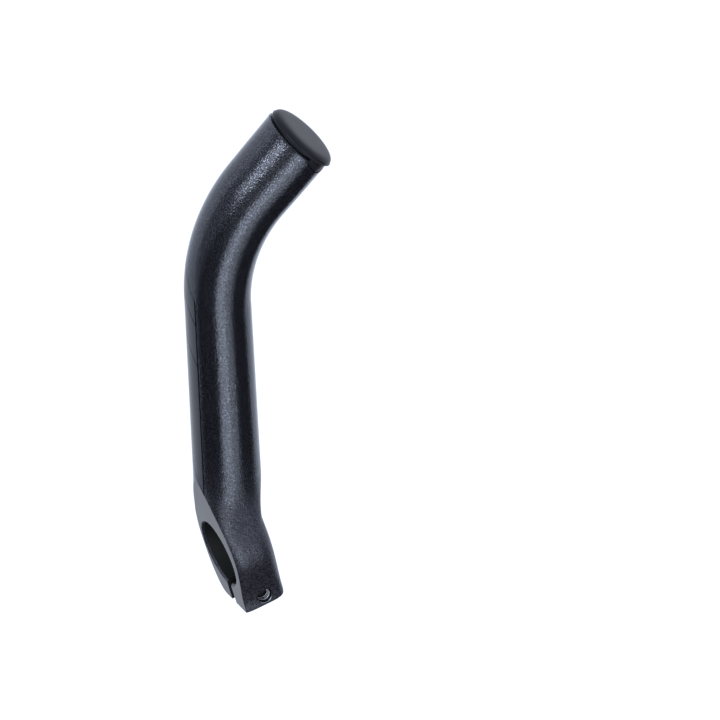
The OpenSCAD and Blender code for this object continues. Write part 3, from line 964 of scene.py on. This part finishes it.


# %% [markdown]
# ## Plug plastic and bolt steel
# The plug is moulded in dark grey plastic with a satin skin: very fine texture, and a broad, soft
# reflection on its shoulder. The bolt is dark plated steel, with turning marks that run round it.
# Its point sits deep in the hole, and there its colour is painted near black as the hole's shade.

# %% Plug and bolt finish
def satin_plastic():
    m = Shader("satin_plug_plastic")
    spot = m.place()
    fine = m.noise(5200, 2.0, 0.5, spot)
    cloud = m.noise(180, 2.0, 0.5, spot)
    tone = m.mix_colour(cloud, (0.005, 0.005, 0.006, 1), (0.008, 0.008, 0.010, 1))
    m.set(Base_Color=tone, Roughness=0.35 + (cloud - 0.5) * 0.06 + (fine - 0.5) * 0.05,
          Metallic=0.0, Specular_IOR_Level=0.11, Specular_Tint=COOL,
          Normal=m.bump(fine, 0.14, 0.00002))
    return m.material


# Heights along the bolt where its colour fades into the painted shade at its point.
POINT_SHADE_FADE = -0.0090, -0.0070


def plated_steel():
    m = Shader("plated_bolt_steel")
    spot = m.place()
    y = m.axis(spot, 1)
    rings = m.streaks(y, 5200.0)
    fine = m.noise(2600, 3.0, 0.6, spot)
    tone = m.mix_colour(fine, (0.030, 0.030, 0.033, 1), (0.065, 0.066, 0.071, 1))
    # Painted shade: the bolt's point, deep in the hole, is coloured near black.
    tone = m.mix_colour(y.ramp(*POINT_SHADE_FADE), (0.006, 0.006, 0.006, 1), tone)
    m.set(Base_Color=tone, Roughness=0.34 + rings * 0.12 + fine * 0.06, Metallic=1.0,
          Normal=m.bump(rings * 0.6 + fine * 0.4, 0.16, 0.00002))
    return m.material


BLACK, MILLED, BORED = black_anodised(), milled_black(), bored_black()
BARE, PLASTIC, STEEL = bare_thread(), satin_plastic(), plated_steel()
print("materials:", [m.name for m in bpy.data.materials])

# %% [markdown]
# ## Dressing the pieces
# One mesh can wear several materials: each face keeps the number of its material. Here a face of
# the body gets its number from where it lies, because every cutter has worked in a known place.
# The other pieces wear one material each.

# %% Dress the pieces
SKIN, MILLED_FACE, CUT_INSIDE, BARE_MOUTH = range(4)
NEAR = 0.1


def dress(obj, *materials):
    obj.data.materials.clear()
    for material in materials:
        obj.data.materials.append(material)


def finish_of(face):
    """Which finish a face of the body wears."""
    x, y, z = (c / MM for c in face.center)
    from_bolt = math.hypot(x, z - BOLT_Z)
    if from_bolt < sink_r + 0.01 and y < MOUTH_DEPTH / 2 - FRONT_LIP:
        return BARE_MOUTH
    if math.hypot(y, z) < BORE_R + 0.3 and abs(x) < HALF_W:
        return CUT_INSIDE
    if abs(y - slot_mid) < SLOT_W / 2 + 0.05 and z < SLOT_TOP and abs(face.normal.y) > 0.9:
        return CUT_INSIDE
    if from_bolt < plain_r + NEAR and z < -BORE_R:
        return CUT_INSIDE
    return MILLED_FACE if face.normal.x < -0.99 and x < 0.01 - HALF_W else SKIN


dress(body, BLACK, MILLED, BORED, BARE)
for face in body.data.polygons:
    face.material_index = finish_of(face)
dress(tapped, BARE)
dress(plug, PLASTIC)
dress(bolt, STEEL)
dress(bolt_thread, STEEL)
worn = [face.material_index for face in body.data.polygons]
print("faces of the body with each finish:", [worn.count(kind) for kind in range(4)])

# %% [markdown]
# ## Floor
# The object is shown over a plain pale floor of white paper. Polished black parts show the room
# more than they show themselves, so the floor has two uses: it is the plain ground of the picture,
# and it is what both outlines and the milled face reflect.

# %% Floor
FLOOR_Z, FLOOR_HALF = -1.2, 9.0
floor_corners = FLOOR_HALF * np.array([(-1, -1, 0), (1, -1, 0), (1, 1, 0), (-1, 1, 0)])
floor = mesh_object("floor", floor_corners + FLOOR_Z * AXIS_Z, [(0, 1, 2, 3)], 1.0)
paper = Shader("floor_paper")
fibre = paper.noise(300, 2.0, 0.5)
paper.set(Base_Color=paper.mix_colour(fibre, (0.88, 0.88, 0.88, 1), (0.92, 0.92, 0.92, 1)),
          Roughness=0.9, Specular_IOR_Level=0.1, Normal=paper.bump(fibre, 0.05, 0.0001))
dress(floor, paper.material)
print("floor:", 2 * FLOOR_HALF, "m across, at z =", FLOOR_Z, "m")

# %% [markdown]
# ## Cloths
# A photographer hides part of the room from a polished thing with cloth. A bowl of black cloth
# below and in front makes the dark stripes between the bright bands, a smaller one round the
# camera keeps the front calm, and a grey one at the outer side softens the edge there. The camera
# doesn't see them, and they throw no shadow: they only change what the surfaces mirror.

# %% Cloths
CENTRE = Vector((0.025, 0.0, 0.06))
CAMERA_SIDE = (-107.9, 30.0)


def towards(azimuth, elevation):
    """A direction from the object, in degrees round from +X and above the horizon."""
    a, e = radians(azimuth), radians(elevation)
    return Vector((cos(a) * cos(e), sin(a) * cos(e), sin(e)))


def cloth_shell(name, radius, middle, degrees, material):
    """A bowl of cloth on one side of the object."""
    shape = bmesh.new()
    bmesh.ops.create_icosphere(shape, subdivisions=5, radius=radius)
    away = [f for f in shape.faces
            if f.calc_center_median().normalized().dot(middle) < cos(radians(degrees))]
    bmesh.ops.delete(shape, geom=away, context="FACES")
    mesh = bpy.data.meshes.new(name)
    shape.to_mesh(mesh)
    shape.free()
    shell = bpy.data.objects.new(name, mesh)
    shell.location = CENTRE
    bpy.context.scene.collection.objects.link(shell)
    shell.visible_camera = shell.visible_diffuse = shell.visible_shadow = False
    dress(shell, material)
    return shell


def cloth(name, dark, light):
    m = Shader(name)
    weave = m.noise(700, 2.0, 0.5)
    m.set(Base_Color=m.mix_colour(weave, dark, light), Roughness=0.95, Specular_IOR_Level=0.0)
    return m.material


velvet = cloth("black_cloth", (0.01, 0.01, 0.011, 1), (0.02, 0.02, 0.022, 1))
felt = cloth("grey_cloth", (0.26, 0.26, 0.27, 1), (0.32, 0.32, 0.33, 1))
below_left = Vector((-0.3, -0.6, -0.74)).normalized()
low_cloth = cloth_shell("black_cloth_low", 1.0, below_left, 74, velvet)
camera_cloth = cloth_shell("black_cloth_camera", 1.35, towards(*CAMERA_SIDE), 30, velvet)
side_cloth = cloth_shell("grey_cloth_side", 1.5, towards(-176, 20), 28, felt)
print("cloths:", low_cloth.name, camera_cloth.name, side_cloth.name)

# %% [markdown]
# ## Soft panels and the room
# Each bright band on the tube is the mirror image of one soft panel, so a panel is placed where
# the band's surface looks. Two low ones draw the band down the leg, a large high one draws the band
# on the tip, and one in front lights the clamp. Power grows with the panel's size here, so that
# one number, the radiance, says how bright its image is. The room itself is a pale, slightly cool
# sky.

# %% Panels and room
DAYLIGHT = (0.93, 0.98, 1.06)
SKY, SKY_STRENGTH = (0.92, 0.98, 1.12, 1), 1.2


def panel(name, middle, along, reach, length, width, radiance):
    """A soft panel, reach metres from the object, that faces it. Its length follows along."""
    data = bpy.data.lights.new(name, "AREA")
    data.shape, data.size, data.size_y = "RECTANGLE", length, width
    data.energy, data.color = radiance * pi * length * width, DAYLIGHT
    light = bpy.data.objects.new(name, data)
    bpy.context.scene.collection.objects.link(light)
    along = (along - along.dot(middle) * middle).normalized()
    turn = Matrix((along, middle.cross(along), middle)).transposed()
    light.location = CENTRE + middle * reach
    light.rotation_mode = "QUATERNION"
    light.rotation_quaternion = turn.to_quaternion()
    light.visible_camera = False


up_right = towards(-101, 1) - towards(-121, -35)
down_right = towards(-87, -43) - towards(-97, 3)
up_left = towards(-154, 49) - towards(-124, 21)
to_the_right = towards(-82, 8) - towards(-120, 8)
panel("low_panel", towards(-113, -18), up_right, 0.47, 0.32, 0.21, 3.6)
panel("low_panel_soft", towards(-92, -19), down_right, 0.6, 0.50, 0.29, 2.1)
panel("high_panel", towards(-132, 29), up_left, 1.2, 1.22, 0.54, 5.9)
panel("front_panel", towards(-101, 10), to_the_right, 1.0, 0.66, 0.32, 3.8)

world = bpy.data.worlds.new("room")
world.use_nodes = True
sky = world.node_tree.nodes["Background"]
sky.inputs["Color"].default_value = SKY
sky.inputs["Strength"].default_value = SKY_STRENGTH
bpy.context.scene.world = world
bpy.context.scene.view_settings.view_transform = "Standard"

# %% [markdown]
# ## Camera
# The camera stands in front and a little to the outer side, looks down by 30 degrees, and is rolled,
# because the object was laid out at a slant for its picture. A long lens from one and a half metres
# away keeps the outlines nearly parallel.

# %% Camera
AZ, EL, ROLL = radians(-17.882), radians(30.018), radians(-16.297)
U0, V0, PX_PER_MM, DIST = 238.797, 544.204, 3.0664, 1500.0
IMAGE, SENSOR = 720.0, 36.0
back = Vector((sin(AZ) * cos(EL), -cos(AZ) * cos(EL), sin(EL)))
level = Vector((cos(AZ), sin(AZ), 0))
above = back.cross(level)
right = cos(ROLL) * level + sin(ROLL) * above
up = cos(ROLL) * above - sin(ROLL) * level
offset = Vector(((U0 - IMAGE / 2) / PX_PER_MM, (IMAGE / 2 - V0) / PX_PER_MM, 0))
eye = Vector((0, 0, DIST)) - offset
camera = bpy.data.objects.new("camera", bpy.data.cameras.new("camera"))
camera.data.lens = PX_PER_MM * DIST / IMAGE * SENSOR
camera.data.sensor_width = SENSOR
camera.data.clip_start, camera.data.clip_end = 0.05, 30
camera.location = MM * (right * eye.x + up * eye.y + back * eye.z)
camera.rotation_mode = "QUATERNION"
camera.rotation_quaternion = Matrix((right, up, back)).transposed().to_quaternion()
bpy.context.scene.collection.objects.link(camera)
bpy.context.scene.camera = camera
print("camera at", [round(c, 3) for c in camera.location], "lens", round(camera.data.lens, 1))
